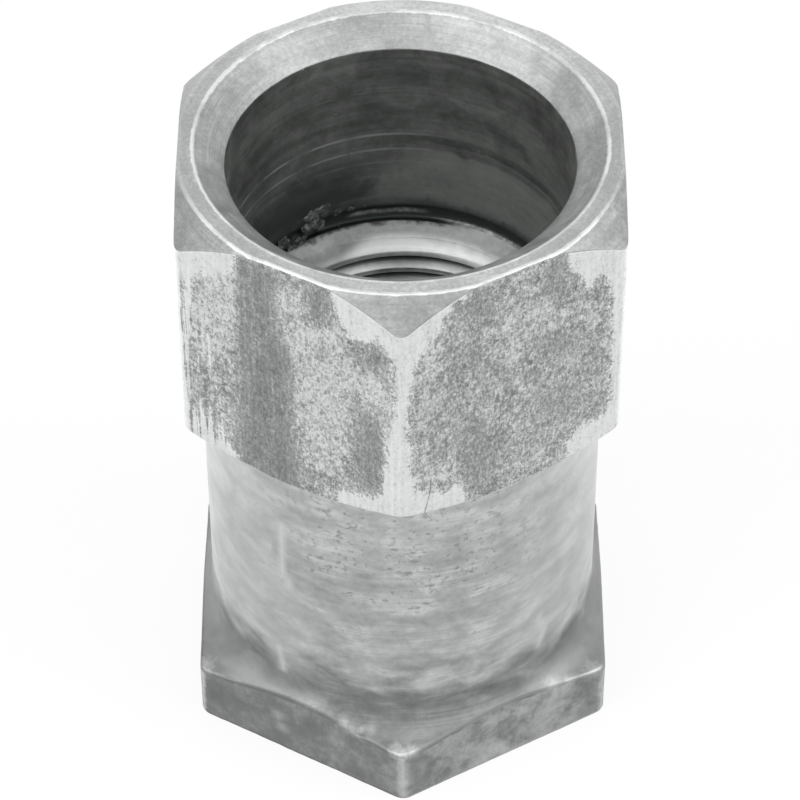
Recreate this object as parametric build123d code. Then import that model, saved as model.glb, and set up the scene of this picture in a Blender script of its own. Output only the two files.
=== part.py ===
from build123d import *
import os
from math import cos, radians, tan

# Clutch hub nut: one steel turning from hexagon bar. Sizes are in millimetres.
# The origin is the centre of the clamping face at the threaded end. +Z runs along
# the bore towards the counterbored head, and one hexagon corner points to -Y.

# Hexagon bar
across_flats = 30.16
bar_corner_radius = 1.1

# Heights above the clamping face
overall_height = 48.74
head_corner_height = 30.08     # the head's underside at the hexagon's sharp corners
flange_height = 4.83

# Outside turning, with angles from the flat
neck_diameter = 28.62
cove_radius = 3.0              # neck into the flange's top
underside_angle = 30.0
underside_radius = 0.4         # neck into the head's underside
face_diameter = 30.54          # flat ring round the mouth, outer edge
ring_width = 1.21              # of that ring, radial
head_chamfer_angle = 46.0

# Seal counterbore, with depths below the flat ring
seal_bore_diameter = 23.86
countersink_depth = 1.78
wall_depth = 17.64
relief_width = 1.3             # groove at the foot of the wall
relief_depth = 0.3             # radial
floor_angle = 40.0             # falls towards the thread
floor_inner_diameter = 21.96

# Threaded hole at its tapping size, for a 7/8-16 left-hand thread
thread_major_diameter = 22.225
thread_minor_diameter = 20.5
lead_in_angle = 55.0           # from the counterbore's floor into the thread
thread_mouth_clearance = 0.2   # radial, of the lower chamfer past the thread
thread_mouth_angle = 45.0

# Broken edges
face_edge_radius = 0.15        # outside of the flat ring
mouth_edge_radius = 0.15       # inside of the flat ring
bore_edge_radius = 0.25        # countersink into the seal bore

tolerance = 0.001              # when an edge is found by its place


def fall(run, angle):
    """Drop over a radial run, at an angle from the flat."""
    return run * tan(radians(angle))


def rounded(section, corner, radius):
    """The section with the corner at a point rounded."""
    return fillet(section.vertices().sort_by_distance(corner)[0], radius)


def hexagon_bar():
    """Bar stock over the full height, with its rounded corners."""
    outline = RegularPolygon(across_flats / 2, 6, major_radius=False, rotation=30)
    return extrude(fillet(outline.vertices(), bar_corner_radius), overall_height)


def outside_turning():
    """What the lathe leaves outside: clamping flange, neck and head."""
    reach = across_flats       # clear of the hexagon's corners
    sharp_corner = across_flats / 2 / cos(radians(30))
    neck = neck_diameter / 2
    face = face_diameter / 2
    neck_top = head_corner_height - fall(sharp_corner - neck, underside_angle)
    section = make_face(
        Polyline(
            (0, 0),
            (reach, 0),
            (reach, flange_height),
            (neck, flange_height),
            (neck, neck_top),
            (reach, neck_top + fall(reach - neck, underside_angle)),
            (reach, overall_height - fall(reach - face, head_chamfer_angle)),
            (face, overall_height),
            (0, overall_height),
            close=True,
        )
    )
    section = rounded(section, (neck, flange_height), cove_radius)
    section = rounded(section, (neck, neck_top), underside_radius)
    section = rounded(section, (face, overall_height), face_edge_radius)
    return revolve(Plane.XZ * section, Axis.Z)


def through_hole():
    """Seal counterbore from above, and the threaded hole below it."""
    mouth = face_diameter / 2 - ring_width
    bore = seal_bore_diameter / 2
    floor_inner = floor_inner_diameter / 2
    thread = thread_minor_diameter / 2
    thread_mouth = thread_major_diameter / 2 + thread_mouth_clearance
    bore_top = overall_height - countersink_depth
    foot = overall_height - wall_depth
    floor_end = foot - fall(bore - floor_inner, floor_angle)
    thread_top = floor_end - fall(floor_inner - thread, lead_in_angle)
    section = make_face(
        Polyline(
            (0, overall_height),
            (mouth, overall_height),
            (bore, bore_top),
            (bore, foot + relief_width),
            (bore + relief_depth, foot + relief_width),
            (bore + relief_depth, foot),
            (bore, foot),
            (floor_inner, floor_end),
            (thread, thread_top),
            (thread, fall(thread_mouth - thread, thread_mouth_angle)),
            (thread_mouth, 0),
            (0, 0),
            close=True,
        )
    )
    return revolve(Plane.XZ * section, Axis.Z)


def rims(nut, radius, height):
    """Full circles of a radius at a height."""
    circles = nut.edges().filter_by(GeomType.CIRCLE)
    level = circles.filter_by_position(Axis.Z, height - tolerance, height + tolerance)
    return [edge for edge in level if abs(edge.radius - radius) < tolerance]


hub_nut = hexagon_bar() & outside_turning()
hub_nut -= through_hole()
mouth = face_diameter / 2 - ring_width
bore_top = overall_height - countersink_depth
hub_nut = fillet(rims(hub_nut, mouth, overall_height), mouth_edge_radius)
hub_nut = fillet(rims(hub_nut, seal_bore_diameter / 2, bore_top), bore_edge_radius)

os.makedirs("parts", exist_ok=True)
export_step(hub_nut, "parts/hub_nut.step")
print("hub_nut", len(hub_nut.solids()), "solid", round(hub_nut.volume / 1000, 2), "cm3")
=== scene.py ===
from math import acos, atan2, cos, degrees, exp, hypot, radians, sin, sqrt, tan

import bmesh
import bpy
from mathutils import Matrix, Vector, noise


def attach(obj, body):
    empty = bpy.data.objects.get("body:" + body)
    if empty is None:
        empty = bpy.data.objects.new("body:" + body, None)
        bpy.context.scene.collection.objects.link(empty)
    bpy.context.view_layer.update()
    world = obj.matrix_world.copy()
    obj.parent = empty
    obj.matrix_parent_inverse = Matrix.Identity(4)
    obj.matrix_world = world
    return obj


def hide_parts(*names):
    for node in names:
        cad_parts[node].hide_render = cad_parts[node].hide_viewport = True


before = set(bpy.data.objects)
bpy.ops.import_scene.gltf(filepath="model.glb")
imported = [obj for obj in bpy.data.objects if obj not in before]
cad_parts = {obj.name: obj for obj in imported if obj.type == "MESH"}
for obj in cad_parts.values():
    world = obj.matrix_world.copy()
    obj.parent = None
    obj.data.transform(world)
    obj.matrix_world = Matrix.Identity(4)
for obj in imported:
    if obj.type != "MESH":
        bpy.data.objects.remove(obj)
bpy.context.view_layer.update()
print("frame loaded")

# The nut is shaped in millimetres and scaled to metres at the end.
nut = {
    "flatRadius": 15.08,
    "barCornerRadius": 1.1,
    "height": 48.74,
    "undersideAtCorner": 30.08,
    "undersideAngle": 30,
    "flangeHeight": 4.83,
    "neckRadius": 14.31,
    "coveRadius": 3,
    "faceRadius": 15.27,
    "mouthRadius": 14.06,
    "chamferAngle": 46,
    "boreRadius": 11.93,
    "countersinkDepth": 1.78,
    "wallDepth": 17.64,
    "reliefWidth": 1.3,
    "reliefDepth": 0.3,
    "floorAngle": 40,
    "floorInnerRadius": 10.98,
    "coneAngle": 47.5,  # the cone's lower half, clean of dirt
    "leadInAngle": 84,  # where it rounds over to meet the crests
    "threadMouthRadius": 11.3125,
    "edgeBreak": 0.1,
    "breakLimit": 0.42,  # of the shorter piece beside a broken edge
    "evenRows": 0.45,  # how evenly rows are spaced; the rest gathers them at both ends
    "dirtInGroove": 0.22,  # the height of the dirt in its lower corner
    "dirtFrom": 1.5,  # where along X it starts to rise
    "dirtOver": 5,  # and over how far
    "sharpAngle": 50,
    "columns": 360,  # round the whole nut, a sixth of them to each sector
    "columnsPerHalfCorner": 4,  # of those, on half of a rounded corner
}

# The thread is left-hand: its crest falls as the angle grows.
thread = {
    "crestRadius": 10.1,
    "rootRadius": 11.11,
    "pitch": 1.5875,
    "crestFlat": 0.18,  # half its width
    "crestProfile": [(0, 0.11), (0.03, 0.19), (0.104, 0.24)],  # out and up from a crest's middle
    "rootRound": 0.02,
    "crestHeight": 29.68,  # of one crest at angle 0
    "leadInLow": 29.2,  # the lead-in meets the crests here
    "leadInSoft": 0.06,
    "fullBelow": 29.05,  # the turns run out between these two heights
    "goneAbove": 29.35,
    "topCut": 30.217,
    "bottomCut": 0.12,
    "bridgeReach": 0.05,  # how near these cuts an open edge may lie
    "columns": 160,
}

zoneNames = ["clamp", "flange", "cove", "neck", "under", "head", "chamfer", "ring",
             "countersink", "bore", "relief", "floor", "thread", "dirt"]

# Knocks in the steel: centre, reach and push, in millimetres
knocks = [
    ((-3.35, -15.4, 5.85), 0.75, (0.12, 0.3, -0.55)),
    ((-4.5, -14.8, 5.85), 0.5, (0.05, 0.15, -0.25)),
    ((4.1, -16.5, 29.55), 0.45, (-0.15, 0.3, 0.2)),
    ((-10, -11.5, 48.7), 0.5, (0.1, 0.15, -0.25)),
    ((-9.3, -12, 48.7), 0.3, (-0.08, -0.1, 0.05)),
]

# Dried dirt caught at the foot of the bore's wall: centre and size, in millimetres
dirtLumps = [
    ((-6.55, 9.93, 33), 0.5),
    ((-5.95, 10.3, 33.2), 0.36),
    ((-6.35, 10.05, 32.35), 0.62),
    ((-6.8, 9.75, 32.1), 0.4),
    ((-5.45, 10.57, 33.55), 0.24),
    ((-7.35, 9.35, 31.2), 0.42),
    ((-7.65, 9.1, 30.85), 0.36),
    ((-8.5, 8.33, 32), 0.4),
    ((-8, 8.8, 30.8), 0.34),
    ((-4.6, 10.96, 32.6), 0.26),
    ((-3.6, 11.33, 32.6), 0.2),
]
dirtShape = {"size": 1.2, "swing": 0.9, "coarse": 1.2, "fine": 2.6, "fineShare": 0.45, "flatten": 0.65}


def fall(run, angle):
    return run * tan(radians(angle))


def floorLow():
    width = nut["boreRadius"] - nut["floorInnerRadius"]
    return nut["height"] - nut["wallDepth"] - fall(width, nut["floorAngle"])


def limited(share):
    return max(0, min(1, share))


def eased(share):
    share = limited(share)
    return share * share * (3 - 2 * share)


def leadInRadius(z):
    # the floor's slope, a slightly steeper cone below it, then a rounding over to the crests
    drop = floorLow() - z
    angle = nut["floorAngle"] if drop < 0 else nut["coneAngle"]
    cone = nut["floorInnerRadius"] - drop / tan(radians(angle))
    steep = thread["crestRadius"] + (z - thread["leadInLow"]) / tan(radians(nut["leadInAngle"]))
    soft = thread["leadInSoft"]
    blend = limited(0.5 + (cone - steep) / (2 * soft))
    return steep + (cone - steep) * blend + soft * blend * (1 - blend)


def offFlat(angle):
    # degrees from the middle of the nearest flat
    return (angle + 30) % 60 - 30


def hexagonRadius(angle):
    flat, corner = nut["flatRadius"], nut["barCornerRadius"]
    off = abs(offFlat(angle))
    if off <= degrees(atan2(fall(flat - corner, 30), flat)):
        return flat / cos(radians(off))
    centre = (flat - corner) / cos(radians(30))
    gap = radians(30 - off)
    return centre * cos(gap) + sqrt(corner ** 2 - (centre * sin(gap)) ** 2)


def columnAngle(column):
    # even columns on a flat, closer ones round its corners
    half = nut["columns"] // 12
    close = nut["columnsPerHalfCorner"]
    edge = degrees(atan2(fall(nut["flatRadius"] - nut["barCornerRadius"], 30), nut["flatRadius"]))
    sector, place = divmod(column + half, 2 * half)
    place -= half
    steps = abs(place)
    if steps <= half - close:
        off = edge * steps / (half - close)
    else:
        off = edge + (30 - edge) * (steps - half + close) / close
    return sector * 60 + (off if place >= 0 else -off)


def sectionAt(angle):
    # One side of the nut from the thread's mouth out, up and down into the bore. Each station is
    # radius, height, setback of its broken edge, rows in it, rows after it, zone and whether it is bright.
    n = nut
    outer = hexagonRadius(angle)
    face = min(n["faceRadius"], outer - n["edgeBreak"])
    neck, top = n["neckRadius"], n["height"]
    neckTop = n["undersideAtCorner"] - fall(n["flatRadius"] / cos(radians(30)) - neck, n["undersideAngle"])
    headLow = neckTop + fall(outer - neck, n["undersideAngle"])
    headTop = top - fall(outer - face, n["chamferAngle"])
    coveRadius, coveLow = n["coveRadius"], n["flangeHeight"]
    coveEnd = acos((neck + coveRadius - outer) / coveRadius)
    foot = top - n["wallDepth"]
    relief = n["boreRadius"] + n["reliefDepth"]
    # dirt fills the groove's lower corner on the side at +X
    across = n["boreRadius"] * cos(radians(angle))
    filled = n["dirtInGroove"] * eased((across - n["dirtFrom"]) / n["dirtOver"])

    def wander(seed, amount=0.5):
        a = radians(angle)
        coarse = noise.noise(Vector((5 * cos(a), 5 * sin(a), seed)))
        fine = noise.noise(Vector((26 * cos(a), 26 * sin(a), seed + 9)))
        return 1 + amount * (coarse + fine)

    def covePoint(share):
        turn = coveEnd * (1 - share)
        return (neck + coveRadius - coveRadius * cos(turn), coveLow + coveRadius - coveRadius * sin(turn))

    stations = [
        (n["threadMouthRadius"], 0, 0.1, 3, 4, "clamp", 1),
        (outer, 0, 0.12 * wander(1), 3, 9, "flange", 1),
        (*covePoint(0), 0.32 * wander(2, 0.7), 5, 1, "cove", 1),
    ]
    stations += [(*covePoint(i / 11), 0, 1, 1, "cove", 0) for i in range(2, 11)]
    stations += [
        (neck, coveLow + coveRadius, 0, 1, 27, "neck", 0),
        (neck, neckTop, 0.23, 4, 5, "under", 0),
        (outer, headLow, 0.11 * wander(3, 0.9), 3, 32, "head", 1),
        (outer, headTop, 0.11 * wander(4, 0.7), 3, 7, "chamfer", 0),
        (face, top, 0.11 * wander(5, 0.9), 4, 5, "ring", 1),
        (n["mouthRadius"], top, 0.11 * wander(6, 0.8), 4, 7, "countersink", 1),
        (n["boreRadius"], top - n["countersinkDepth"], 0.06 * wander(7, 0.4), 3, 15, "bore", 0),
        (n["boreRadius"], foot + n["reliefWidth"], 0.06, 2, 1, "relief", 0),
        (relief, foot + n["reliefWidth"], 0.1, 2, 2, "relief", 0),
        (relief, foot + filled, 0.1, 2, 1, "relief", 0),
        (n["boreRadius"], foot, 0.06, 2, 5, "floor", 1),
        (n["floorInnerRadius"], floorLow(), 0, 1, 1, "floor", 0),
        (leadInRadius(thread["topCut"]), thread["topCut"], 0, 1, 0, "floor", 0),
    ]
    points, zones, limit = [], [], n["breakLimit"]
    for i, (r, z, setback, inBreak, rowsAfter, zone, _) in enumerate(stations):
        here = Vector((r, z))
        if inBreak > 1:
            before = Vector(stations[i - 1][:2]) if i else Vector((r, z + 1))
            after = Vector(stations[i + 1][:2])
            back = min(setback, limit * (before - here).length)
            ahead = min(setback, limit * (after - here).length)
            start = here + (before - here).normalized() * back
            end = here + (after - here).normalized() * ahead
            for k in range(inBreak):
                t = k / (inBreak - 1)
                points.append(start * (1 - t) ** 2 + here * 2 * t * (1 - t) + end * t ** 2)
        else:
            points.append(here)
        zones += ["head", "chamfer"] if zone == "chamfer" else [zone] * (inBreak - 1)
        if rowsAfter > 1:
            follow = stations[i + 1]
            goal = Vector(follow[:2])
            if follow[3] > 1:
                gap = (goal - here).length
                goal = goal - (goal - here).normalized() * min(follow[2], limit * gap)
            last = points[-1]
            for k in range(1, rowsAfter):
                t = k / rowsAfter
                points.append(last.lerp(goal, n["evenRows"] * t + (1 - n["evenRows"]) * eased(t)))
        zones += [zone] * rowsAfter
    edges = [Vector(s[:2]) for s in stations if s[6]]
    gaps = [min((p - e).length for e in edges) for p in points]
    return points, zones, gaps


def ringOfVertex(vert):
    return round(degrees(atan2(vert.co.y, vert.co.x)) % 360 / (360 / nut["columns"])) % nut["columns"]


def makeBody(bm, rowLayer, layers):
    angles = [columnAngle(c) for c in range(nut["columns"])]
    sections = [sectionAt(a) for a in angles]
    chain = []
    for row, p in enumerate(sections[0][0]):
        vert = bm.verts.new((p.x + row * 1e-4, 0, p.y))
        vert[rowLayer] = row + 1
        chain.append(vert)
    edges = [bm.edges.new(pair) for pair in zip(chain, chain[1:])]
    bmesh.ops.spin(bm, geom=chain + edges, cent=(0, 0, 0), axis=(0, 0, 1), angle=radians(360),
                   steps=nut["columns"], use_merge=True)
    zones = sections[0][1]
    for vert in bm.verts:
        if not vert[rowLayer]:
            continue
        row, column = vert[rowLayer] - 1, ringOfVertex(vert)
        p = sections[column][0][row]
        a = radians(angles[column])
        vert.co = (p.x * cos(a), p.x * sin(a), p.y)
        vert[layers["edgeGap"]] = sections[column][2][row]
        zone = zones[min(row, len(zones) - 1)]
        level = zone in ("clamp", "under", "ring", "countersink", "floor", "relief")
        vert[layers["along"]] = p.x if level else p.y
    for face in bm.faces:
        rows = [v[rowLayer] for v in face.verts]
        if min(rows):
            face.material_index = zoneNames.index(zones[min(rows) - 1])
    print("body spun:", len(bm.verts), "vertices")


def makeThread(bm, layers):
    t = thread
    crest, flat, pitch = t["crestRadius"], t["crestFlat"], t["pitch"]
    deep = t["rootRadius"] - crest
    flank = fall(deep, 30)
    # one turn's section from a crest's lower edge to the next one's: how far out and how high
    cycle = [(0, -flat)] + t["crestProfile"]
    cycle += [(deep * k / 3, flat + flank * k / 3) for k in (1, 2)]
    cycle += [(deep - t["rootRound"], flat + flank), (deep, pitch / 2),
              (deep - t["rootRound"], pitch - flat - flank)]
    cycle += [(deep * k / 3, pitch - flat - flank * k / 3) for k in (2, 1)]
    cycle.append((0, pitch - flat))
    start = t["crestHeight"] + 2 * pitch
    turns = int((start - t["bottomCut"]) / pitch) + 2
    chain = [bm.verts.new((crest + out, 0, start + up)) for out, up in cycle]
    edges = [bm.edges.new(pair) for pair in zip(chain, chain[1:])]
    bmesh.ops.spin(bm, geom=chain + edges, cent=(0, 0, 0), axis=(0, 0, 1), angle=radians(360),
                   steps=t["columns"], dvec=(0, 0, -pitch / t["columns"]))
    oneTurn = bm.verts[:] + bm.edges[:] + bm.faces[:]
    for turn in range(1, turns):
        copied = bmesh.ops.duplicate(bm, geom=oneTurn)["geom"]
        copiedVerts = [part for part in copied if isinstance(part, bmesh.types.BMVert)]
        bmesh.ops.translate(bm, verts=copiedVerts, vec=(0, 0, -pitch * turn))
    bmesh.ops.remove_doubles(bm, verts=bm.verts, dist=1e-3)
    for vert in bm.verts:
        r = hypot(vert.co.x, vert.co.y)
        least = max(leadInRadius(vert.co.z), nut["threadMouthRadius"] - vert.co.z)
        goal = max(r, least)
        runOut = eased((vert.co.z - t["fullBelow"]) / (t["goneAbove"] - t["fullBelow"]))
        scale = (goal + (least - goal) * runOut) / r
        vert.co.x *= scale
        vert.co.y *= scale
    for height, upward in ((t["topCut"], 1), (t["bottomCut"], -1)):
        everything = bm.verts[:] + bm.edges[:] + bm.faces[:]
        bmesh.ops.bisect_plane(bm, geom=everything, plane_co=(0, 0, height), plane_no=(0, 0, upward),
                               clear_outer=True, dist=1e-5)
    for vert in bm.verts:
        vert[layers["along"]] = vert.co.z
        vert[layers["edgeGap"]] = max(0, hypot(vert.co.x, vert.co.y) - crest)
    for face in bm.faces:
        face.material_index = zoneNames.index("thread")
    print("thread spun:", len(bm.verts), "vertices")


def bridgeEnds(bm):
    # the thread's two cut ends run on into the body's two open ends
    rims = [e for e in bm.edges if e.is_boundary]
    ends = list(dict.fromkeys(v for e in rims for v in e.verts))
    reach = thread["bridgeReach"]
    for low, high in ((thread["topCut"], thread["topCut"]), (0, thread["bottomCut"])):
        near = [e for e in rims if all(low - reach <= v.co.z <= high + reach for v in e.verts)]
        for face in bmesh.ops.bridge_loops(bm, edges=near)["faces"]:
            face.material_index = zoneNames.index("thread")
    bmesh.ops.remove_doubles(bm, verts=ends, dist=1e-4)
    print("open edges left:", sum(1 for e in bm.edges if e.is_boundary))


def addDirt(bm):
    shape = dirtShape
    for place, size in dirtLumps:
        verts = bmesh.ops.create_icosphere(bm, subdivisions=3, radius=1)["verts"]
        centre = Vector(place)
        outward = Vector((centre.x, centre.y, 0)).normalized()
        for vert in verts:
            coarse, fine = (noise.noise(vert.co * shape[kind] + centre) for kind in ("coarse", "fine"))
            vert.co *= size * (shape["size"] + shape["swing"] * (coarse + shape["fineShare"] * fine))
            vert.co += centre - outward * shape["flatten"] * vert.co.dot(outward)
        for face in {face for vert in verts for face in vert.link_faces}:
            face.material_index = zoneNames.index("dirt")


def knockSteel(bm):
    for centre, reach, push in knocks:
        centre, push = Vector(centre), Vector(push)
        for vert in bm.verts:
            gap = (vert.co - centre).length
            if gap < 3 * reach:
                vert.co += push * exp(-(gap / reach) ** 2)
                vert.co.z = min(vert.co.z, nut["height"])


# Wear on the head's flats: the angle that a flat faces, the kind of wear, its strength and its outline,
# in millimetres along the flat and up. The skin is darker where dull and flaked where pale.
flatWear = [
    (240, "bare", 1, [
        (-9.5, 49.5), (-3.84, 49.5), (-3.65, 47.8), (-4.35, 46.2), (-5.1, 45.6), (-5.9, 45.5), (-6.8, 45.4),
        (-7.4, 44.7), (-7.85, 44), (-7.9, 39.8), (-7.8, 34), (-6.8, 32.1), (-5.8, 30.8), (-4.25, 29.6),
        (-4.2, 28), (-9.5, 28)]),
    (240, "bare", 1, [
        (9.5, 49.5), (3.3, 49.5), (3.66, 47.2), (4.1, 46.2), (4.8, 45.1), (6, 45.2), (6.9, 45.9), (7.3, 45.3),
        (8.05, 44), (8.1, 41.1), (8.3, 39.5), (7.35, 37.5), (7.6, 35), (7.15, 33.2), (7, 31.6), (5.9, 30.7),
        (3.85, 30.3), (3.4, 28), (9.5, 28)]),
    (240, "dull", 1, [
        (-3.65, 48.6), (-0.6, 47.6), (-1, 45.9), (-0.7, 44.1), (0.3, 40.6), (0, 36), (0.2, 32.5), (0.6, 28.5),
        (-4.25, 28.5), (-3.9, 36), (-3.84, 40.3)]),
    (240, "dull", 0.62, [(1.5, 48.6), (3.1, 48.6), (3.9, 47.3), (3.5, 45.6), (2.4, 44.8), (1.5, 45.2)]),
    (240, "dull", 0.62, [(2.2, 43.4), (3.35, 43.6), (3.45, 42.1), (2.3, 41.5)]),
    (240, "dull", 0.62, [
        (5.2, 39.1), (7.2, 38.7), (7.9, 37.4), (7.3, 31.4), (5.1, 31.2), (4.7, 34), (4.9, 36.2)]),
    (240, "dull", 0.62, [(5.9, 45.1), (7.05, 45.7), (8.15, 44.3), (7.7, 42.8), (5.9, 42.7)]),
    (240, "pale", 1, [
        (-7.8, 46), (-3.65, 47.8), (-3.75, 44.1), (-3.85, 40.3), (-4.6, 38), (-6.6, 37.6), (-7.9, 38.3)]),
    (240, "pale", 1, [
        (-0.6, 46.8), (1.4, 48), (1.4, 45), (2.4, 44.4), (3.5, 45.2), (4.1, 44.3), (5, 42.3), (7.2, 42.5),
        (7.9, 41.5), (7.2, 39.6), (5, 40), (4.6, 36.1), (4.6, 32), (3, 30.7), (0.6, 31.5), (0.3, 36.1),
        (0.6, 40.1), (-0.5, 44.2)]),
    (240, "scratched", 1, [(-9, 43.5), (-6.9, 43.5), (-6, 40), (-5.5, 35), (-5.2, 30.5), (-9, 29)]),
    (300, "bare", 1, [
        (-9.5, 49.5), (-4.8, 49.5), (-3.7, 48.3), (-4.1, 47.8), (-4.8, 48), (-5.2, 47.3), (-5.5, 46.7),
        (-5.9, 45.4), (-6.5, 45.1), (-7.1, 44.9), (-7.5, 44.1), (-7.85, 43.6), (-8.1, 41.1), (-8.1, 37.7),
        (-8, 34.5), (-7.65, 32.3), (-6.65, 31.7), (-5.8, 31.1), (-5.05, 30.9), (-4.5, 31.5), (-3.9, 30.7),
        (-3.6, 29.3), (-3.5, 28), (-9.5, 28)]),
    (300, "bare", 1, [
        (9.5, 49.5), (3.9, 49.5), (4.1, 47.2), (4.85, 46.2), (5.6, 44.4), (6.3, 45.1), (7, 45), (7.5, 42.9),
        (7.7, 38.2), (7.7, 34.8), (7.65, 33.1), (7.4, 31.9), (6.85, 31.7), (5.8, 31.9), (4.95, 31.8),
        (4.5, 31), (4.1, 29.4), (4.1, 28), (9.5, 28)]),
    (300, "dull", 0.527, [
        (-5.2, 47.7), (-2.7, 48.8), (-1.5, 47.6), (-1.45, 45.2), (-3.6, 45.6), (-5.2, 46.7)]),
    (300, "dull", 0.527, [(2, 48.6), (3.8, 48.6), (4.1, 44.7), (2.5, 45.8)]),
    (300, "dull", 0.527, [(2.2, 42.6), (4.6, 41.2), (5.3, 39.4), (3.6, 38.6), (2, 40.2)]),
    (300, "dull", 0.527, [(1.7, 37.6), (5.2, 36.9), (5.3, 32.6), (2.6, 33.6), (1.5, 35.4)]),
    (300, "dull", 0.527, [(-4.6, 37.4), (-2, 36.1), (-1.2, 31.2), (-3.4, 28.6), (-4.4, 32.6)]),
    (300, "pale", 0.6, [
        (-1.1, 48), (1.9, 47.5), (2.4, 45.6), (3.8, 44.8), (7.4, 43), (7.9, 37.5), (5.5, 40.6), (3.6, 41.9),
        (1.2, 41.5), (1.2, 37.3), (0, 37.4), (-0.7, 41.1), (-1.4, 44.8)]),
    (300, "pale", 0.6, [
        (-7.5, 45.8), (-5.9, 45.6), (-4.95, 43.2), (-5.4, 40.1), (-7.75, 38.9), (-8.1, 41.4)]),
    (300, "pale", 0.6, [(-8, 36.2), (-4.65, 34.5), (-4.2, 31.2), (-7.7, 31.6)]),
    ("other", "bare", 1, [
        (-9.5, 49.5), (-5.2, 49.5), (-5.6, 47.6), (-6.9, 46.4), (-7.7, 44.6), (-8, 42), (-8, 35),
        (-7.6, 32.6), (-6.2, 31.2), (-5.2, 29.8), (-5, 28), (-9.5, 28)]),
    ("other", "bare", 1, [
        (9.5, 49.5), (5, 49.5), (5.8, 47.4), (7, 46.2), (7.8, 44.2), (8.05, 41), (8, 35), (7.5, 32.2),
        (6, 31.3), (5.2, 29.6), (5, 28), (9.5, 28)]),
]

# Painted light on the flange's flats: how much paler each is than the darkest, by the way it faces
flangeFlatPaintedLight = {240: 0, 300: 0.7, "other": 0.3}

# Light scuffs on the neck: angle and height, point by point
neckScuffs = [
    [(233.6, 23.2), (233.4, 18.3), (236.6, 17), (239.4, 16.9)],
    [(213.6, 10.9), (222.9, 10.6), (230.8, 10.2), (232.5, 7.9)],
    [(313.7, 12), (316.3, 10.4), (314.1, 9.3)],
    [(226, 20.6), (229, 20.4)],
]


def gapToRun(x, y, run, closed):
    # distance from a point to a run of straight pieces, negative outside a closed one
    best, inside = 1e9, False
    ends = run[1:] + run[:1] if closed else run[1:]
    for (ax, ay), (bx, by) in zip(run, ends):
        dx, dy = bx - ax, by - ay
        t = limited(((x - ax) * dx + (y - ay) * dy) / (dx * dx + dy * dy))
        best = min(best, hypot(x - ax - t * dx, y - ay - t * dy))
        if closed and (ay > y) != (by > y) and x < ax + (y - ay) / dy * dx:
            inside = not inside
    return best if inside or not closed else -best


# Where marks lie, in millimetres
wearAndPaintedLightPlaces = {
    "radius": 14,  # marks are outside it
    "belowTop": 0.05,
    "headAbove": 28.3,
    "neckAbove": 7,
    "scuffReach": 0.3,
    "bareCorner": 8.35,  # along the flange's flats
    "bareRise": 0.85,  # for each millimetre on
    # the flange's painted light fades out towards a flat's corners over these
    "paleWithin": 27,  # degrees from a flat's middle
    "paleFade": 9,
}


def markWearAndPaintedLight(bm, layers):
    # patches run from 0 to 1 over two millimetres, and are a half on their own outline
    limits = wearAndPaintedLightPlaces
    scuffRuns = [[(radians(a) * nut["neckRadius"], height) for a, height in run] for run in neckScuffs]
    for vert in bm.verts:
        x, y, z = vert.co
        if hypot(x, y) < limits["radius"] or z > nut["height"] - limits["belowTop"]:
            continue
        angle = degrees(atan2(y, x)) % 360
        facing = round((angle - offFlat(angle)) % 360)
        flat = facing if facing in flangeFlatPaintedLight else "other"
        along = nut["flatRadius"] * tan(radians(offFlat(angle)))
        if z > limits["headAbove"]:
            for on, layer, strength, outline in flatWear:
                if on == flat:
                    share = strength * limited(0.5 + gapToRun(along, z, outline, True) / 2)
                    vert[layers[layer]] = max(vert[layers[layer]], share)
        elif z > limits["neckAbove"]:
            around = radians(angle) * nut["neckRadius"]
            gap = min(gapToRun(around, z, run, False) for run in scuffRuns)
            vert[layers["scuff"]] = exp(-(gap / limits["scuffReach"]) ** 2)
        else:
            vert[layers["bare"]] = limited(0.5 + (abs(along) - limits["bareCorner"]) * limits["bareRise"])
            # painted light: each of the flange's flats is paler by the way it faces, fading towards its
            # corners
            edge = limited((limits["paleWithin"] - abs(offFlat(angle))) / limits["paleFade"])
            vert[layers["pale"]] = edge * flangeFlatPaintedLight[flat]


def placed(name, data):
    thing = bpy.data.objects.new(name, data)
    bpy.context.scene.collection.objects.link(thing)
    return thing


def makeNut():
    bm = bmesh.new()
    rowLayer = bm.verts.layers.int.new("sectionRow")
    names = ("along", "edgeGap", "bare", "dull", "pale", "scratched", "scuff")
    layers = {name: bm.verts.layers.float.new(name) for name in names}
    makeThread(bm, layers)
    makeBody(bm, rowLayer, layers)
    bridgeEnds(bm)
    markWearAndPaintedLight(bm, layers)
    knockSteel(bm)
    addDirt(bm)
    bm.transform(Matrix.Scale(0.001, 4))
    bmesh.ops.recalc_face_normals(bm, faces=bm.faces)
    for face in bm.faces:
        face.smooth = True
    bm.verts.layers.int.remove(rowLayer)
    mesh = bpy.data.meshes.new("nutBody")
    bm.to_mesh(mesh)
    bm.free()
    mesh.set_sharp_from_angle(angle=radians(nut["sharpAngle"]))
    print("nut made:", sum(len(p.vertices) - 2 for p in mesh.polygons), "triangles")
    return placed("nutBody", mesh)


nutBody = makeNut()

# Patterns read the piece's own place in millimetres, and its attributes.
# A noise is written as scale, detail, roughness, warp and shape. A shape is three stretches,
# or one number for circles round the axis: how fast it changes along the section.
# A span is where a change begins and ends, and may go on with the levels at its ends.
noiseMiddle = 0.5
roundAxis = 0.07  # how fast such circles change round the axis
steelTint = (0.985, 1, 1.002)
coolness = 0.006  # how far a grey's red lies under its green


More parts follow.
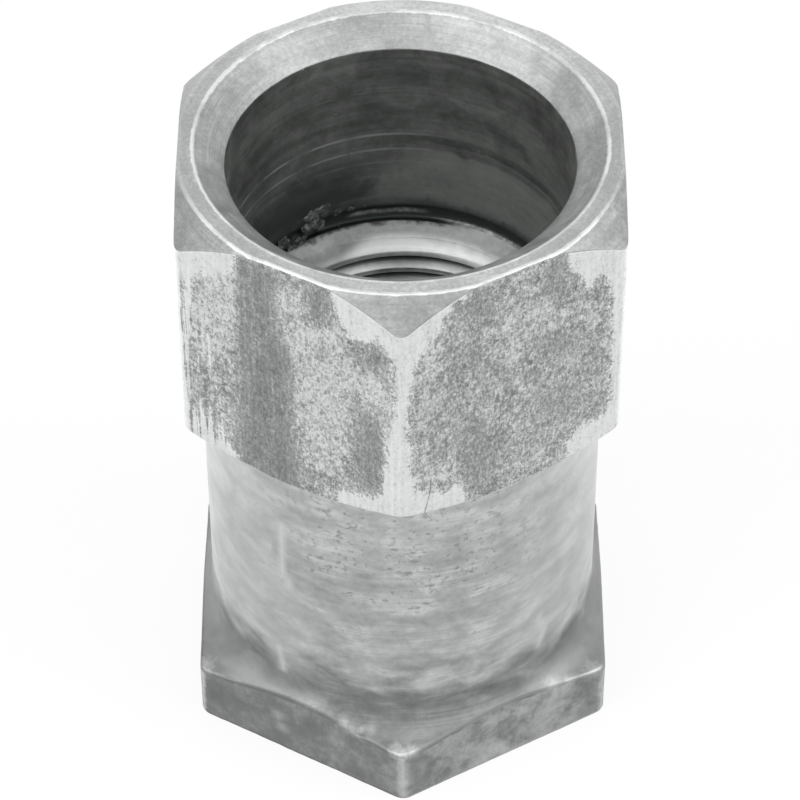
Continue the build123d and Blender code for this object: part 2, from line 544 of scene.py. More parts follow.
class Field:
    # a number, place or colour in a material's nodes; ordinary sums on it add nodes
    def __init__(self, tree, socket):
        self.tree, self.socket = tree, socket

    def sums(self, operation, first, second=0):
        return made(self.tree, "Math", {0: first, 1: second}, operation=operation)

    def __add__(self, other):
        return self.sums("ADD", self, other)

    def __mul__(self, other):
        return self.sums("MULTIPLY", self, other)

    def __sub__(self, other):
        return self.sums("SUBTRACT", self, other)

    def __rsub__(self, other):
        return self.sums("SUBTRACT", other, self)

    __radd__, __rmul__ = __add__, __mul__

    def __abs__(self):
        return self.sums("ABSOLUTE", self)

    def larger(self, other):
        return self.sums("MAXIMUM", self, other)

    def smaller(self, other):
        return self.sums("MINIMUM", self, other)

    def ramp(self, low, high, toLow=0, toHigh=1):
        inputs = {"Value": self, "From Min": low, "From Max": high, "To Min": toLow, "To Max": toHigh}
        return made(self.tree, "MapRange", inputs, interpolation_type="SMOOTHSTEP")

    def mix(self, a, b):
        return made(self.tree, "Mix", {0: self, 6: a, 7: b}, 2, data_type="RGBA")

    def tone(self, stops, tint=steelTint):
        # grey levels; each stop is a place and a level
        node = put(self.tree, "ValToRGB", {"Fac": self})
        elements = node.color_ramp.elements
        while len(elements) < len(stops):
            elements.new(1)
        for element, (at, level) in zip(elements, stops):
            element.position = at
            element.color = tuple(level * part for part in tint) + (1,)
        return Field(self.tree, node.outputs[0])

    def mark(self, name):
        return made(self.tree, "Attribute", out="Fac", attribute_name=name)

    def parts(self):
        return [Field(self.tree, part) for part in put(self.tree, "SeparateXYZ", {0: self}).outputs]

    def vector(self, operation, other, out=0):
        return made(self.tree, "VectorMath", {0: self, 1: other}, out, operation=operation)

    def scaled(self, scale):
        return made(self.tree, "VectorMath", {0: self, "Scale": scale}, operation="SCALE")

    def grain(self, scale, detail, rough, warp=0, shape=None):
        place = self
        if isinstance(shape, tuple):
            place = self.vector("MULTIPLY", shape)
        elif shape:
            x, y, z = self.parts()
            circles = {0: x * roundAxis, 1: y * roundAxis, 2: self.mark("along") * shape}
            place = made(self.tree, "CombineXYZ", circles)
        return made(self.tree, "TexNoise", {"Vector": place, "Scale": scale, "Detail": detail,
                                            "Roughness": rough, "Distortion": warp})


def feed(node, inputs):
    for name, value in inputs.items():
        if isinstance(value, Field):
            value.tree.links.new(value.socket, node.inputs[name])
        else:
            node.inputs[name].default_value = value


def put(tree, kind, inputs, **settings):
    node = tree.nodes.new("ShaderNode" + kind)
    for name, value in settings.items():
        setattr(node, name, value)
    feed(node, inputs or {})
    return node


def made(tree, kind, inputs=None, out=0, **settings):
    return Field(tree, put(tree, kind, inputs, **settings).outputs[out])


def placeInMm(tree):
    return made(tree, "TexCoord", out="Object").scaled(1000)


def grey(level):
    return (level * (1 - coolness), level, level * (1 + coolness / 2), 1)


def grains(place, noises):
    return {name: place.grain(*noise) for name, noise in noises.items()}


def weighed(start, noises, **weights):
    # a start level, plus each named noise's swing round its middle times its weight
    return sum(((noises[name] - noiseMiddle) * weight for name, weight in weights.items()), start)


def faded(value, noises, weights, *span):
    return weighed(value, noises, **weights).ramp(*span)


def newSteel(name):
    material = bpy.data.materials.new(name)
    material.use_nodes = True
    shader = material.node_tree.nodes["Principled BSDF"]
    feed(shader, {"Metallic": 1})
    return material, shader, placeInMm(material.node_tree)


def finishSteel(shader, look, noises, colour, roughness=None, height=None):
    roughness = roughness or weighed(look["rough"], noises, **look["roughWeights"])
    height = height or sum(noises[name] * weight for name, weight in look["relief"].items())
    normal = made(height.tree, "Bump", {"Height": height, "Strength": look["bump"], "Distance": 0.001})
    feed(shader, {"Base Color": colour, "Roughness": roughness, "Normal": normal})


# The light line along worn edges, bare steel with a painted highlight on it. Its wandering and its fading are
# shares of its width.
edgeLine = {
    "noises": {"rough": (2.6, 4, 0.7, 0.3), "broken": (0.4, 3, 0.6)}, "wander": 2.2, "fade": (0.5, 1.6),
    "brokenSpan": (0.4, 0.6), "behindSpan": (-10.5, -3), "innerSpan": (14.5, 14.8),
    "leftSpan": (-1.5, 1.5),
}


def lightEdge(place, colour, look):
    level, width, least, most = look["edge"]
    x, y, z = place.parts()
    noises = grains(place, edgeLine["noises"])
    gap = weighed(place.mark("edgeGap"), noises, rough=width * edgeLine["wander"])
    rim = gap.ramp(*(width * part for part in edgeLine["fade"]), 1, 0)
    # the painted highlight is fainter behind, except inside a given radius
    fade = y.ramp(*edgeLine["behindSpan"], 1, look.get("edgeHighlightBehind", 1))
    if "innerEdge" in look:
        fade = fade.larger(place.mark("along").ramp(*edgeLine["innerSpan"], look["innerEdge"], 0))
    share = noises["broken"].ramp(*edgeLine["brokenSpan"], least, 1) * fade * rim * most
    light = grey(level)
    # painted shade: on the left the line takes a darker level
    if "edgeLeftShade" in look:
        light = x.ramp(*edgeLine["leftSpan"]).mix(grey(look["edgeLeftShade"]), light)
    return share.mix(colour, light)


# Painted highlights along the flange's upper edge and on the flange and cove beside it: centre, reach in
# millimetres and strength
glints = [
    ((-0.5, -16.75, 4.9), 0.6, 0.5),
    ((0, -16.95, 4.85), 0.55, 0.65),
    ((0.5, -16.75, 4.9), 0.6, 0.5),
    ((-3.7, -15, 5.4), 0.7, 0.22),
    ((-4.4, -14.6, 5.7), 0.6, 0.22),
    ((-6.6, -13, 6.3), 1, 0.14),
    ((-7.4, -12.8, 6), 0.6, 0.12),
    ((-14.7, -8.4, 5.2), 0.8, 0.35),
    ((-9, -12.2, 2.3), 0.7, 0.16),
    ((-9.1, -12.1, 3.5), 0.7, 0.16),
    ((6.4, -13.7, 4.3), 0.8, 0.22),
    ((7.4, -13.1, 4.6), 0.7, 0.18),
    ((8.6, -12.5, 4), 0.8, 0.25),
    ((11.1, -11, 5.3), 0.9, 0.25),
    ((12.3, -10.3, 5), 0.6, 0.2),
    ((14.2, -9, 4.9), 0.9, 0.25),
]
glintLook = {"wander": 1.6, "fade": (0, 1.4), "level": 0.8}  # in shares of each one's reach


def blots(place, spots, look):
    # rough round patches, each as strong as its own last number
    noises = {"rough": place.grain(2.8, 4, 0.65)}
    share = 0
    for centre, reach, strength in spots:
        gap = weighed(place.vector("DISTANCE", centre, "Value"), noises, rough=reach * look["wander"])
        share = gap.ramp(*(reach * part for part in look["fade"]), strength, 0).larger(share)
    return share


def glinted(place, colour):
    return blots(place, glints, glintLook).mix(colour, grey(glintLook["level"]))


# A short crack up from the head's front corner. It wanders and fades by shares of its width.
crack = {
    "run": [(1.96, -16.28, 32.6), (1.93, -16.3, 31.6), (1.75, -16.4, 30.6), (1.5, -16.55, 29.5)],
    "noise": (1.2, 3, 0.6), "width": 0.06, "wander": 3, "fade": (0.4, 1.4), "share": 0.7, "level": 0.16,
}


def cracked(place, colour, look):
    noises = {"rough": place.grain(*look["noise"])}
    near = 0
    for start, end in zip(look["run"], look["run"][1:]):
        way = Vector(end) - Vector(start)
        off = place.vector("SUBTRACT", start)
        share = off.vector("DOT_PRODUCT", way / way.length_squared, "Value").smaller(1).larger(0)
        reached = made(place.tree, "VectorMath", {0: way, "Scale": share}, operation="SCALE")
        gap = weighed(off.vector("DISTANCE", reached, "Value"), noises, rough=look["width"] * look["wander"])
        near = gap.ramp(*(look["width"] * part for part in look["fade"]), 1, 0).larger(near)
    return (near * look["share"]).mix(colour, grey(look["level"]))


# An edge is its light line's level, width, least strength and strength.
barSkin = {
    "head": {
        "stops": [(0.05, 0.15), (0.27, 0.23), (0.45, 0.335), (0.56, 0.46), (0.74, 0.68)],
        "bareStops": [(0.2, 0.32), (0.36, 0.62), (0.5, 0.72), (0.7, 0.8)],
        "scales": {"fine": 4.6, "middle": 1.8, "clump": 0.9, "wide": 0.22},
        "strokes": (5.5, 5.5, 2.2),
        "weights": {"fine": 1.45, "strokes": 1, "middle": 0.6, "clump": 0.35, "wide": 0.25},
        "start": 0.5, "dull": 0.15, "calm": 0.35, "pale": 0.13, "nearBare": 0.06, "bareGrain": 0.9,
        "bareSpan": (0.45, 0.6), "bump": 0.9, "crack": crack, "edge": (0.82, 0.08, 0.1, 0.6),
    },
    "flange": {
        "stops": [(0.2, 0.175), (0.4, 0.21), (0.5, 0.25), (0.6, 0.3), (0.95, 0.46)],
        "bareStops": [(0.2, 0.36), (0.5, 0.46), (0.8, 0.54)],
        "scales": {"fine": 1.6, "middle": 0.8, "clump": 0.45, "wide": 0.2},
        "strokes": (1.2, 1.2, 0.48),
        "weights": {"fine": 0.35, "strokes": 0.35, "middle": 0.4, "clump": 0.6, "wide": 0.4},
        "start": 0.45, "dull": 0, "calm": 0, "pale": 0.22, "nearBare": 0.1, "bareGrain": 0.25,
        "bareSpan": (0.35, 0.8), "bump": 0.3, "edge": (0.4, 0.2, 0.8, 0.8), "edgeLeftShade": 0.13,
    },
}

# What both skins share. The first noises leave out their scales, which are each skin's own.
skin = {
    "noises": {"fine": (4, 0.8, 1), "middle": (3, 0.65, 0.8), "clump": (3, 0.55, 0.6), "wide": (2, 0.5)},
    "strokes": (1, 3, 0.75, 0.4), "streaks": (1, 3, 0.65, 0, (2.6, 2.6, 0.1)),
    "dull": ({"clump": 1.1, "middle": 0.8, "fine": 0.7}, 0.2, 0.95), "dullStreaks": 0.5,
    "calmLevel": 0.33, "pale": ({"clump": 0.8, "middle": 0.6, "fine": 0.5}, 0.2, 0.9), "scratches": 0.7,
    "nearBareSpan": (0.1, 0.5), "bareOutline": {"middle": 0.5, "streaks": 0.35, "clump": 0.25},
    "bareScratches": 5, "bareWeights": {"fine": 0.9, "strokes": 0.5, "streaks": 0.5, "clump": 0.3},
    "rough": 0.56, "bareRough": 0.45, "relief": 0.03,
    "reliefLost": 0.024,  # where the steel is bare
    "bareRise": 0.02, "streakRelief": 0.005,
}


def makeBarSkin(name, look):
    material, shader, place = newSteel(name)
    noises = grains(place, {kind: (look["scales"][kind], *rest) for kind, rest in skin["noises"].items()})
    noises["strokes"] = place.grain(*skin["strokes"], look["strokes"])
    noises["streaks"] = place.grain(*skin["streaks"])
    dull, pale = (faded(place.mark(mark), noises, *skin[mark]) for mark in ("dull", "pale"))
    streak = noises["streaks"] - noiseMiddle
    scratched, calm = place.mark("scratched") * streak, dull * look["calm"]
    level = weighed(look["start"], noises, **look["weights"]) - dull * look["dull"]
    level = level * (1 - calm) + calm * skin["calmLevel"] + streak * dull * skin["dullStreaks"]
    level += pale * look["pale"] + scratched * skin["scratches"]
    level += place.mark("bare").ramp(*skin["nearBareSpan"], 0, look["nearBare"])
    # bare steel, its outline dissolved into the skin's own grain
    field = weighed(place.mark("bare"), noises, fine=look["bareGrain"], **skin["bareOutline"])
    bare = (field + scratched * skin["bareScratches"]).ramp(*look["bareSpan"])
    bareLevel = weighed(noiseMiddle, noises, **skin["bareWeights"])
    colour = bare.mix(level.tone(look["stops"]), bareLevel.tone(look["bareStops"]))
    # the edge's light line, then painted highlights along the flange's edge
    colour = glinted(place, lightEdge(place, colour, look))
    if "crack" in look:
        colour = cracked(place, colour, look["crack"])
    roughness = skin["rough"] - bare * (skin["rough"] - skin["bareRough"])
    height = level * (skin["relief"] - bare * skin["reliefLost"]) + bare * skin["bareRise"]
    finishSteel(shader, look, noises, colour, roughness, height + noises["streaks"] * skin["streakRelief"])
    return material


# Painted shade sinks the neck's tone over these heights into the cove, painted light makes its top and sides
# lighter, and its specks gather under the head.
neckShade = {
    "dimSpan": (6.5, 10.7, 0.5, 1), "dimClouds": 4, "topSpan": (18, 27, 0, 0.12),
    "sideSpan": (8, 14, 0, 0.1), "specksSpan": (14.5, 21, -0.06, 0.08),
}

# Levels are the darkest, middle and lightest. Fine, clouds and lines: a noise's scale and its weight.
turned = {
    "neck": {"levels": (0.3, 0.43, 0.585), "fine": (2.2, 0.5), "clouds": (0.55, 1.2), "lines": (6, 0.8),
             "specks": 1, "rough": 0.5, "bump": 0.5, "edge": (0.27, 0.2, 0.8, 0.8), "edgeLeftShade": 0.16,
             "aside": 0.2, "cloudsAside": 0.6, "cloudNoise": (2, 0.6, 0.25, (0.6, 0.6, 1.15)),
             "shade": neckShade},
    "chamfer": {"levels": (0.255, 0.37, 0.535), "fine": (3.6, 0.7), "clouds": (0.5, 0.7), "lines": (6, 0.8),
                "specks": 0.3, "rough": 0.5, "bump": 0.6, "edge": (0.8, 0.12, 0.2, 0.9), "edgeHighlightBehind": 0.2,
                "behind": -0.06, "sides": -0.18, "middle": -0.12},
    "ring": {"levels": (0.325, 0.44, 0.6), "fine": (3.8, 0.9), "clouds": (0.5, 0.6), "lines": (7, 0.6),
             "specks": 0.2, "rough": 0.47, "bump": 0.6, "edge": (0.78, 0.14, 0.6, 0.9), "edgeHighlightBehind": 0.15,
             "innerEdge": 0.8, "behind": 0.16, "sides": -0.2, "middle": 0},
    "countersink": {"levels": (0.26, 0.37, 0.5), "fine": (3.2, 0.7), "clouds": (0.45, 0.9),
                    "lines": (7, 0.8), "specks": 0.2, "rough": 0.48, "bump": 0.6,
                    "edge": (0.75, 0.14, 0.6, 0.8), "behind": -0.1, "sides": 0.04, "middle": 0},
    "clamp": {"levels": (0.28, 0.42, 0.55), "fine": (3, 0.6), "clouds": (0.45, 0.8), "lines": (4, 0.5),
              "specks": 0.4, "rough": 0.5, "bump": 0.6, "edge": (0.6, 0.1, 0.1, 0.7)},
}

# What the turned faces share
turning = {
    "stops": (0.2, 0.5, 0.8), "cloudNoise": (4, 0.6, 0.5),
    "broad": 0.2,  # its share of the lines' fineness
    "broadWeight": 0.4, "wideWeight": 0.3, "linesSpan": (0.4, 0.6), "quietSpan": (4, 11),
    "calmSpan": (5, 11), "behindSpan": (-2, 13), "sidesSpan": (5, 14), "middleSpan": (2, 6),
    "pits": (1.7, 3, 0.6, 0, (1, 1, 1.3)), "pitClouds": 0.5, "pitSpan": (0.62, 0.8), "pitShade": 0.45,
    "scuffShare": 0.75, "scuffLevel": 0.62, "cloudRoughness": 0.25, "lineRelief": 0.01,
    "fineRelief": 0.012, "pitRelief": 0.01,
}


def makeTurned(name, look):
    material, shader, place = newSteel(name)
    x, y, z = place.parts()
    shade = look.get("shade")
    fineness, swing = look["lines"]
    noises = grains(place, {
        "fine": (look["fine"][0], 4, 0.7, 0.3),
        "clouds": (look["clouds"][0], *look.get("cloudNoise", turning["cloudNoise"])),
        "wide": (0.16, 2, 0.5),
        "lines": (1, 3, 0.7, 0, fineness),
        "broad": (1, 2, 0.5, 0, fineness * turning["broad"]),
        "pits": turning["pits"],
    })
    aside = abs(x)
    quiet = aside.ramp(*turning["quietSpan"], 1, look.get("aside", 1))
    calm = aside.ramp(*turning["calmSpan"], 1, look.get("cloudsAside", 1))
    level = weighed(noiseMiddle, noises, fine=quiet * look["fine"][1], clouds=calm * look["clouds"][1],
                    wide=turning["wideWeight"], broad=quiet * turning["broadWeight"])
    # painted light and shade: lighter or darker behind, at the sides and in the middle
    if "behind" in look:
        level += y.ramp(*turning["behindSpan"], 0, look["behind"])
        level += aside.ramp(*turning["sidesSpan"], 0, look["sides"])
        level += aside.ramp(*turning["middleSpan"], look["middle"], 0)
    level += (noises["lines"] - noiseMiddle) * swing * (noises["clouds"].ramp(*turning["linesSpan"]) * quiet)
    pits = weighed(noises["pits"], noises, clouds=turning["pitClouds"])
    # on the neck: painted light on its top and sides, and more specks under the head
    if shade:
        level += z.ramp(*shade["topSpan"])
        level += aside.ramp(*shade["sideSpan"])
        pits += z.ramp(*shade["specksSpan"])
    pits = pits.ramp(*turning["pitSpan"]) * (quiet * look["specks"])
    colour = (level - pits * turning["pitShade"]).tone(list(zip(turning["stops"], look["levels"])))
    # painted shade: the neck darkens down into the cove
    if shade:
        colour = colour.scaled(weighed(z, noises, clouds=shade["dimClouds"]).ramp(*shade["dimSpan"]))
    colour = (place.mark("scuff") * turning["scuffShare"]).mix(colour, grey(turning["scuffLevel"]))
    colour = lightEdge(place, colour, look)
    # painted highlights near the flange's upper edge
    if shade:
        colour = glinted(place, colour)
    roughness = weighed(look["rough"], noises, clouds=turning["cloudRoughness"])
    height = (noises["lines"] * turning["lineRelief"] + noises["fine"] * turning["fineRelief"]) * quiet
    finishSteel(shader, look, noises, colour, roughness, height - pits * turning["pitRelief"])
    return material


# Thin dirt on the bore's wall round the lumps: centre, reach in millimetres and strength
dirtPlaces = [
    ((-6.5, 10, 32.7), 0.8, 0.55),
    ((-5.6, 10.5, 32.8), 0.5, 0.4),
    ((-7.5, 9.3, 31.3), 0.6, 0.5),
    ((-8.5, 8.4, 31.9), 0.6, 0.5),
]

# Depths are from the nut's top, and sides lie along X. Where a span has weights before it,
# the noises make its outline wander.
boreLook = {
    "stops": [(0.1, 0.17), (0.36, 0.275), (0.62, 0.4), (0.95, 0.54)], "tint": (0.97, 1, 0.965),
    "noises": {"lines": (1, 4, 0.7, 0, 3), "broad": (1.3, 3, 0.6, 0, 0.5),
               "clouds": (0.35, 4, 0.6, 0.8, (1, 1, 1.4)), "fine": (1.8, 4, 0.65, 0.4),
               "breaks": (0.35, 2, 0.5, 0, (1, 1, 0.2)), "dust": (2.4, 1, 0.4)},
    "start": 0.28, "weights": {"lines": 0.4, "broad": 0.6, "clouds": 0.75, "fine": 0.4},
    "darkDepths": [(9.9, 0.55, 0.27), (10.7, 0.45, 0.22)],  # depth, half width and amount
    "darkWander": {"broad": 0.5, "clouds": 0.8},
    "darkCore": 0.3,  # of the half width
    "darkSide": (-1, 3), "rightSide": (2, 9, 0, 0.1), "deepDepth": (7, 14),
    "deepSide": (-4, 6, 0.12, 0.5),
    "lineDepths": [(5.5, 0.05, 0.2), (9.5, 0.06, 0.8), (10.9, 0.06, 0.7), (12.1, 0.05, 0.3)],
    "lineWander": {"broad": 0.06},
    "lineFade": 2.4,  # times its half width
    "lineBreaks": (0.4, 0.62, 0.15, 1), "lineSide": (6, -4, 0.15, 1), "lineLevel": 0.6,
    "stainDepth": ({"clouds": 6, "fine": 1.2}, 11, 13.4),
    "stainSide": ({"clouds": 6}, -0.8, -4.5, 0, 0.75), "stain": (0.085, 0.098, 0.1, 1),
    "wallFootDarkDepth": ({"clouds": 2, "fine": 1}, 15.2, 16.3, 0, 0.92), "wallFootDark": (0.18, 0.195, 0.195, 1),
    "ledgeDepth": 16.75, "ledgeWidth": ({"clouds": 0.3}, 0, 0.32, 1, 0),
    "ledgeBreaks": ({"clouds": 1}, 0.3, 0.62, 0.45, 1), "ledgeStart": ({"clouds": 2}, -4.4, -3.2),
    "ledgeEnd": ({"clouds": 2}, 2.4, 0.6), "ledgeShare": 0.8, "ledgeLevel": 0.42,
    "cornerShadeDepth": (17.5, 17.62), "gap": (0.035, 0.04, 0.04, 1),
    "crustDepth": ({"fine": 0.4}, 17.25, 17.45), "crustSide": ({"clouds": 4}, 2, 5.5),
    "crustGrain": 1.2, "crustStops": [(0.3, 0.08), (0.5, 0.18), (0.7, 0.3)],
    "dirt": {"wander": 2.6, "fade": (0.4, 1.1)},  # shares of each place's reach
    "dirtGrain": 1.6, "dirtStops": [(0.3, 0.08), (0.5, 0.2), (0.7, 0.34)],
    "dustSpan": (0.76, 0.8, 0, 0.5), "dustLevel": 0.55, "rough": 0.5, "roughWeights": {"clouds": 0.2},
    "relief": {"lines": 0.01, "broad": 0.012}, "bump": 0.5,
}


def makeBore(name, look):
    material, shader, place = newSteel(name)
    x, y, z = place.parts()
    depth = nut["height"] - z
    noises = grains(place, look["noises"])
    level = weighed(look["start"], noises, **look["weights"])
    wandered, side = weighed(depth, noises, **look["darkWander"]), x.ramp(*look["darkSide"])
    for at, width, amount in look["darkDepths"]:
        level -= side * abs(wandered - at).ramp(width * look["darkCore"], width, amount, 0)
    level += x.ramp(*look["rightSide"])
    level += depth.ramp(*look["deepDepth"]) * x.ramp(*look["deepSide"])
    colour = level.tone(look["stops"], look["tint"])
    broken = noises["breaks"].ramp(*look["lineBreaks"]) * x.ramp(*look["lineSide"])
    wandered = weighed(depth, noises, **look["lineWander"])
    for at, width, amount in look["lineDepths"]:
        line = abs(wandered - at).ramp(width, width * look["lineFade"], 1, 0)
        colour = (line * broken * amount).mix(colour, grey(look["lineLevel"]))
    # an oily stain low on the left, darker towards the wall's foot, and a light broken ledge in it
    stain = faded(depth, noises, *look["stainDepth"]) * faded(x, noises, *look["stainSide"])
    colour = stain.mix(colour, look["stain"])
    colour = faded(depth, noises, *look["wallFootDarkDepth"]).mix(colour, look["wallFootDark"])
    off = abs(weighed(depth, noises, **look["ledgeWidth"][0]) - look["ledgeDepth"])
    ledge = off.ramp(*look["ledgeWidth"][1:]) * faded(noises["fine"], noises, *look["ledgeBreaks"])
    ends = faded(x, noises, *look["ledgeStart"]) * faded(x, noises, *look["ledgeEnd"])
    colour = (ledge * ends * look["ledgeShare"]).mix(colour, grey(look["ledgeLevel"]))
    # painted shade darkens the groove's corner, and on the right a crust of dirt fills it
    right = faded(x, noises, *look["crustSide"])
    colour = (depth.ramp(*look["cornerShadeDepth"]) * (1 - right)).mix(colour, look["gap"])
    crust = weighed(noiseMiddle, noises, fine=look["crustGrain"]).tone(look["crustStops"])
    colour = (faded(depth, noises, *look["crustDepth"]) * right).mix(colour, crust)
    dirt = blots(place, dirtPlaces, look["dirt"])
    colour = dirt.mix(colour, weighed(noiseMiddle, noises, fine=look["dirtGrain"]).tone(look["dirtStops"]))
    feed(shader, {"Metallic": 1 - dirt})
    colour = noises["dust"].ramp(*look["dustSpan"]).mix(colour, grey(look["dustLevel"]))
    finishSteel(shader, look, noises, colour)
    return material


dirtLook = {
    "noise": (1.9, 4, 0.75), "stops": [(0.38, 0.045), (0.5, 0.12), (0.62, 0.29)], "tint": (0.97, 1, 1),
    "rough": 0.85, "roughWeights": {"crumbs": 0.2}, "relief": {"crumbs": 0.02}, "bump": 0.3,
}


def makeDirt(name, look):
    material, shader, place = newSteel(name)
    feed(shader, {"Metallic": 0})
    noises = {"crumbs": place.grain(*look["noise"])}
    finishSteel(shader, look, noises, noises["crumbs"].tone(look["stops"], look["tint"]))
    return material


# Dirt and the darkening of the floor's outer rim begin at these distances from the axis.
threadLook = {
    "noises": {"mottle": (1.1, 4, 0.6, 0.3), "clouds": (0.4, 3, 0.6), "lines": (1, 3, 0.6, 0, 4)},
    "weights": {"mottle": 0.6, "clouds": 0.5, "lines": 0.4},
    "clean": [(0.25, 0.72), (0.5, 0.89), (0.75, 0.97)],
    "dirty": [(0.25, 0.17), (0.45, 0.24), (0.6, 0.31), (0.8, 0.43)],
    "dirtyWeights": {"mottle": 0.8, "clouds": 0.3}, "dirtyWander": {"mottle": 0.5, "clouds": 0.5},
    "dirtySide": (-2.2, -4.6, 0, 0.6),  # it begins that much nearer on the left
    "dirtySpan": (10.4, 11.3), "wallFootDarkSide": ({"clouds": 4}, 2, 5.5, 1, 0),
    "wallFootDarkSpan": ({"mottle": 0.9, "clouds": 0.7}, 11.52, 11.87), "wallFootDark": 0.05, "cornerShadeSpan": (11.8, 11.87),
    "gap": 0.015, "crest": [(0.3, 0.33), (0.5, 0.46), (0.75, 0.62), (1, 0.82)],
    "crestSide": (0.8, 3, 0, 0.35), "rootShadeSpan": (0.4, 0.88), "root": 0.11,
    "coneLower": 0.15,  # how far the cone's steel reaches down among the ends of the turns
    "rough": 0.5, "roughWeights": {"mottle": 0.25}, "relief": {"lines": 0.008, "mottle": 0.01},
    "bump": 0.5,
}


def makeThreadSteel(name, look, floor):
    material, shader, place = newSteel(name)
    x, y, z = place.parts()
    radius = place.vector("MULTIPLY", (1, 1, 0)).vector("LENGTH", (0, 0, 0), "Value")
    noises = grains(place, look["noises"])
    level = weighed(noiseMiddle, noises, **look["weights"])
    reach = weighed(radius, noises, **look["dirtyWander"]) + x.ramp(*look["dirtySide"])
    dirty = weighed(noiseMiddle, noises, **look["dirtyWeights"]).tone(look["dirty"])
    left = faded(x, noises, *look["wallFootDarkSide"])
    cone = reach.ramp(*look["dirtySpan"]).mix(level.tone(look["clean"]), dirty)
    # darker at the floor's outer rim, on the left
    cone = (faded(radius, noises, *look["wallFootDarkSpan"]) * left).mix(cone, grey(look["wallFootDark"]))
    if floor:
        # painted shade in the corner where the floor meets the groove
        colour = (radius.ramp(*look["cornerShadeSpan"]) * left).mix(cone, grey(look["gap"]))
    else:
        level += abs(x).ramp(*look["crestSide"])
        # painted shade deep in the thread's roots
        deep = place.mark("edgeGap").ramp(*look["rootShadeSpan"])
        colour = deep.mix(level.tone(look["crest"]), grey(look["root"]))
        above = z.ramp(thread["fullBelow"] - look["coneLower"], thread["goneAbove"] - look["coneLower"])
        colour = above.mix(colour, cone)
    finishSteel(shader, look, noises, colour)
    return material


# The groove under the bore's wall is darker and has a brighter ledge.
reliefLook = dict(boreLook, wallFootDark=(0.12, 0.13, 0.13, 1), ledgeLevel=0.95, ledgeShare=0.95, ledgeDepth=17.02)

finishes = {zone: makeTurned(zone + "Steel", look) for zone, look in turned.items()}
finishes.update({zone: makeBarSkin(zone + "Skin", look) for zone, look in barSkin.items()})
finishes["under"] = finishes["cove"] = finishes["neck"]
finishes["bore"] = makeBore("boreSteel", boreLook)
finishes["relief"] = makeBore("reliefSteel", reliefLook)
finishes["floor"] = makeThreadSteel("floorSteel", threadLook, True)
finishes["thread"] = makeThreadSteel("threadSteel", threadLook, False)
finishes["dirt"] = makeDirt("driedDirt", dirtLook)
for zoneName in zoneNames:
    nutBody.data.materials.append(finishes[zoneName])
print("finishes made")

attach(nutBody, "root")
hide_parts("hub_nut")

studio = {
    "floorSize": 3, "worldStrength": 0.75,
    "cameraShare": 0.88,  # of plain white in what the camera sees of the floor
    "glossyShare": 0.85,  # and in what reflections see of it
    "floorColour": (0.85, 0.85, 0.85, 1),
    "behindSpan": (-15, 35, 1, 1.7),  # reflections find it brighter behind the nut
}


def whiteRays(tree, cameraShare, glossyShare):
    # how much plain white a ray sees: one share from the camera, another in reflections and through glass
    seen, glossy, through = (made(tree, "LightPath", out="Is " + kind + " Ray")
                             for kind in ("Camera", "Glossy", "Transmission"))
    return (seen * cameraShare).larger(glossy.larger(through) * glossyShare)


def makeFloor():
    bm = bmesh.new()
    bmesh.ops.create_grid(bm, x_segments=1, y_segments=1, size=studio["floorSize"] / 2)
    mesh = bpy.data.meshes.new("studioFloor")
    bm.to_mesh(mesh)
    bm.free()
    floor = placed("studioFloor", mesh)
    material = bpy.data.materials.new("paleFloor")
    material.use_nodes = True
    tree = material.node_tree
    tree.nodes.clear()
    plain = made(tree, "BsdfDiffuse", {"Color": studio["floorColour"]})
    behind = placeInMm(tree).parts()[1].ramp(*studio["behindSpan"])
    toCamera = made(tree, "LightPath", out="Is Camera Ray")
    glow = made(tree, "Emission", {"Strength": behind + toCamera * (1 - behind)})
    share = whiteRays(tree, studio["cameraShare"], studio["glossyShare"])
    put(tree, "OutputMaterial", {0: made(tree, "MixShader", {0: share, 1: plain, 2: glow})})
    mesh.materials.append(material)


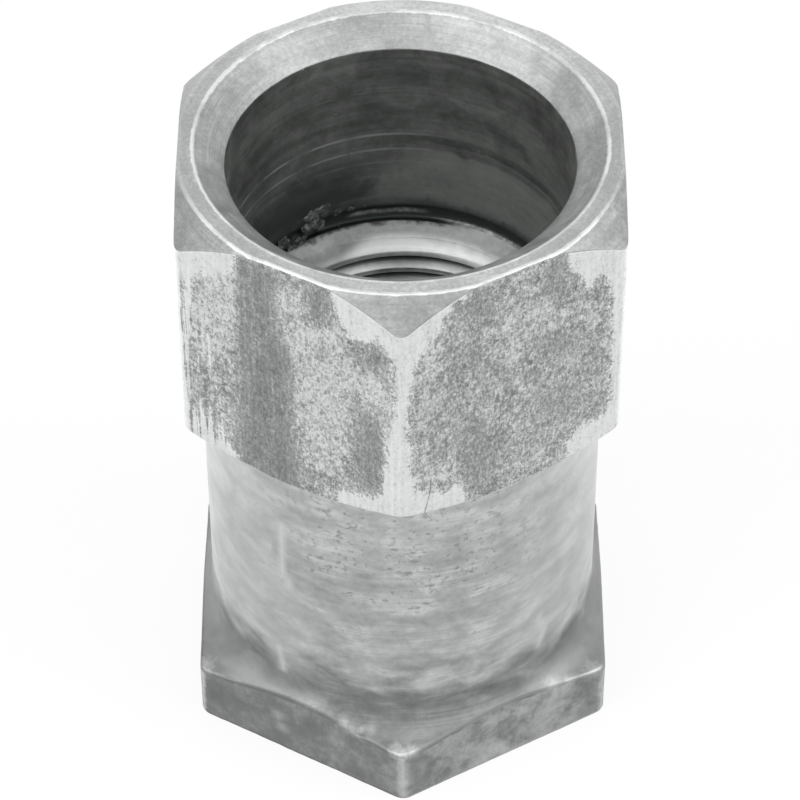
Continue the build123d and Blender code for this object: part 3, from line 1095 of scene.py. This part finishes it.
def makeWorld():
    world = bpy.data.worlds.new("studioWorld")
    bpy.context.scene.world = world
    world.use_nodes = True
    tree = world.node_tree
    strength = whiteRays(tree, 1, 1).ramp(0, 1, studio["worldStrength"], 1)
    feed(tree.nodes["Background"], {"Color": (1, 1, 1, 1), "Strength": strength})


# Place, the point it faces, width and height in metres, and power in watts
lights = {
    "softLeft": ((-0.55, -0.35, 0.5), (0, 0, 0.02), (0.5, 0.6), 3),
    "softRight": ((0.6, -0.2, 0.45), (0, 0, 0.02), (0.4, 0.6), 2.5),
    "softAbove": ((0, -0.25, 0.6), (0, 0, 0.03), (0.3, 0.3), 0.35),
    "softBack": ((0, 0.5, 0.5), (0, 0, 0.02), (0.7, 0.3), 0.3),
}


def makeLights():
    for name, (place, aim, size, power) in lights.items():
        data = bpy.data.lights.new(name, "AREA")
        data.shape = "RECTANGLE"
        data.size, data.size_y = size
        data.energy = power
        light = placed(name, data)
        light.location = place
        light.rotation_euler = (Vector(aim) - Vector(place)).to_track_quat("-Z", "Y").to_euler()


# Angles in degrees, the roll anticlockwise, lengths in metres and the lens in millimetres
camera = {
    "azimuth": 0.123, "elevation": 44.473, "distance": 0.2589, "roll": -0.28,
    "target": (-0.000127, 0, 0.024176), "lens": 161.2, "sensor": 36, "clipStart": 0.01,
}


def makeCamera():
    data = bpy.data.cameras.new("studioCamera")
    data.lens = camera["lens"]
    data.sensor_width = camera["sensor"]
    data.clip_start = camera["clipStart"]
    az, el, roll = (radians(camera[k]) for k in ("azimuth", "elevation", "roll"))
    back = Vector((sin(az) * cos(el), -cos(az) * cos(el), sin(el)))
    level = Vector((cos(az), sin(az), 0))
    right = level * cos(roll) + back.cross(level) * sin(roll)
    up = back.cross(right)
    place = Vector(camera["target"]) + back * camera["distance"]
    turned = Matrix((right, up, back)).transposed().to_4x4()
    cameraObject = placed("studioCamera", data)
    cameraObject.matrix_world = Matrix.Translation(place) @ turned
    bpy.context.scene.camera = cameraObject


makeFloor()
makeWorld()
makeLights()
makeCamera()
bpy.context.scene.view_settings.view_transform = "Standard"
print("studio set")
